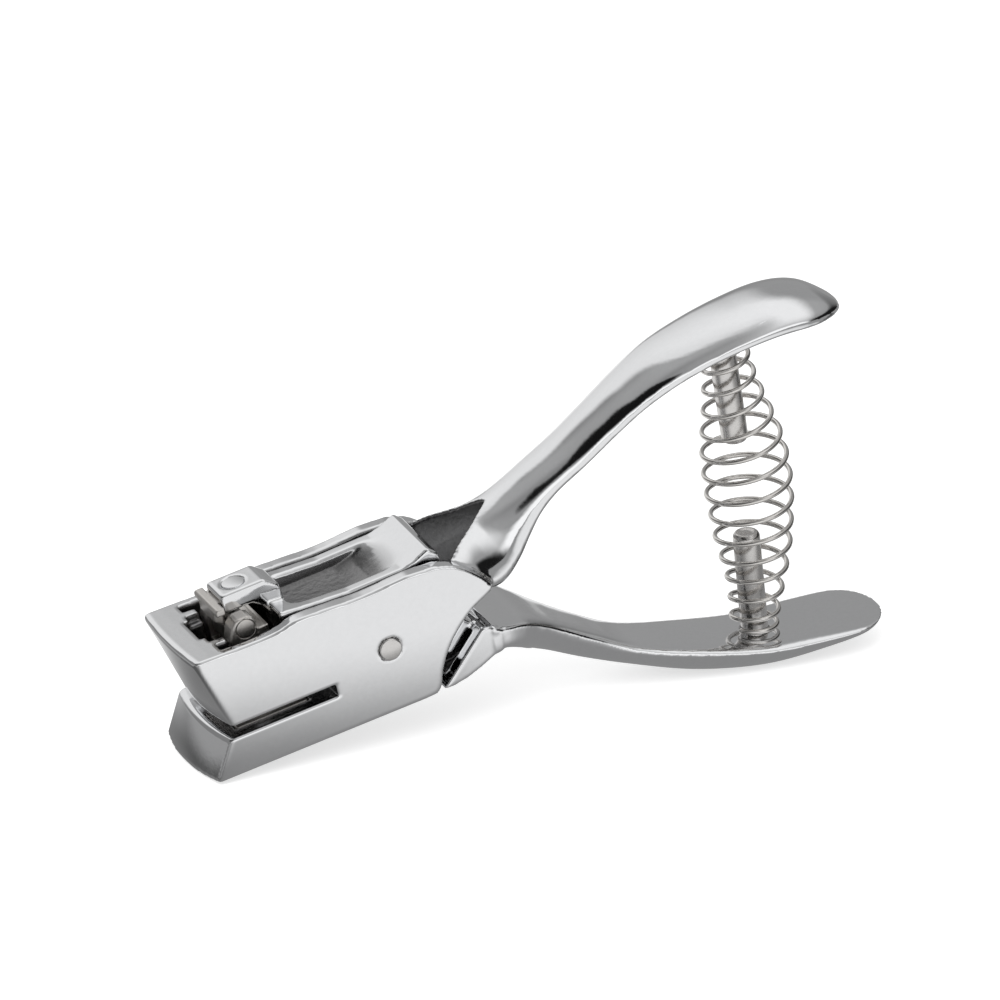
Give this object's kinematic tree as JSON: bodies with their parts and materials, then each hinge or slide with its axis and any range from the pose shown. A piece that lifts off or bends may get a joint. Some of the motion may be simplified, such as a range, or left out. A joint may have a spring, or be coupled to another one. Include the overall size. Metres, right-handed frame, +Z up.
{
  "type": "slot punch plier",
  "caption": "Hand-held one-hand punch plier with a thin throat, a slot punch driven by a pivoted claw lever, and a barrel spring between its two curved handles.",
  "frame": {"origin": "middle of the footprint's bounding box, on the table that the plier stands on", "axes": "+X from the jaws towards the handles, +Z up with the plier standing on its front foot edge and the belly of its lower handle, +Y away from the side that the picture shows"},
  "size_m": [0.1672, 0.0314, 0.0868],
  "materials": {
    "chrome_plate": "bright chrome plate on cast metal",
    "dark_steel": "hardened steel, ground",
    "ground_steel": "ground and polished",
    "spring_steel": "bright nickel-plated wire"
  },
  "bodies": {
    "frame": {"frame_body": "chrome_plate", "pivot_pin": "ground_steel", "upper_spring_post": "ground_steel", "return_spring": "spring_steel", "die_plate": "dark_steel", "die_screw_1": "ground_steel", "die_screw_2": "ground_steel"},
    "lever": {"lever": "chrome_plate", "claw_hook": "dark_steel", "hook_rivet": "ground_steel", "lower_spring_post": "ground_steel"},
    "punch": {"punch": "dark_steel", "punch_cross_pin": "ground_steel"}
  },
  "joints": [
    {"name": "lever_pivot", "type": "hinge", "parent": "frame", "child": "lever", "pos_m": [-0.03609, 0, 0.02486], "axis": [0, -1, 0], "range_deg": [0, 9], "stiffness_Nm_per_rad": 12, "springref_deg": -5.16, "deforming": ["return_spring"]},
    {"name": "punch_slide", "type": "slide", "parent": "frame", "child": "punch", "axis": [0.2164, 0, -0.9763], "range_m": [0, 0.0045]}
  ],
  "couplings": [
    {"joint": "punch_slide", "follows": "lever_pivot", "m_per_rad": 0.02795}
  ]
}
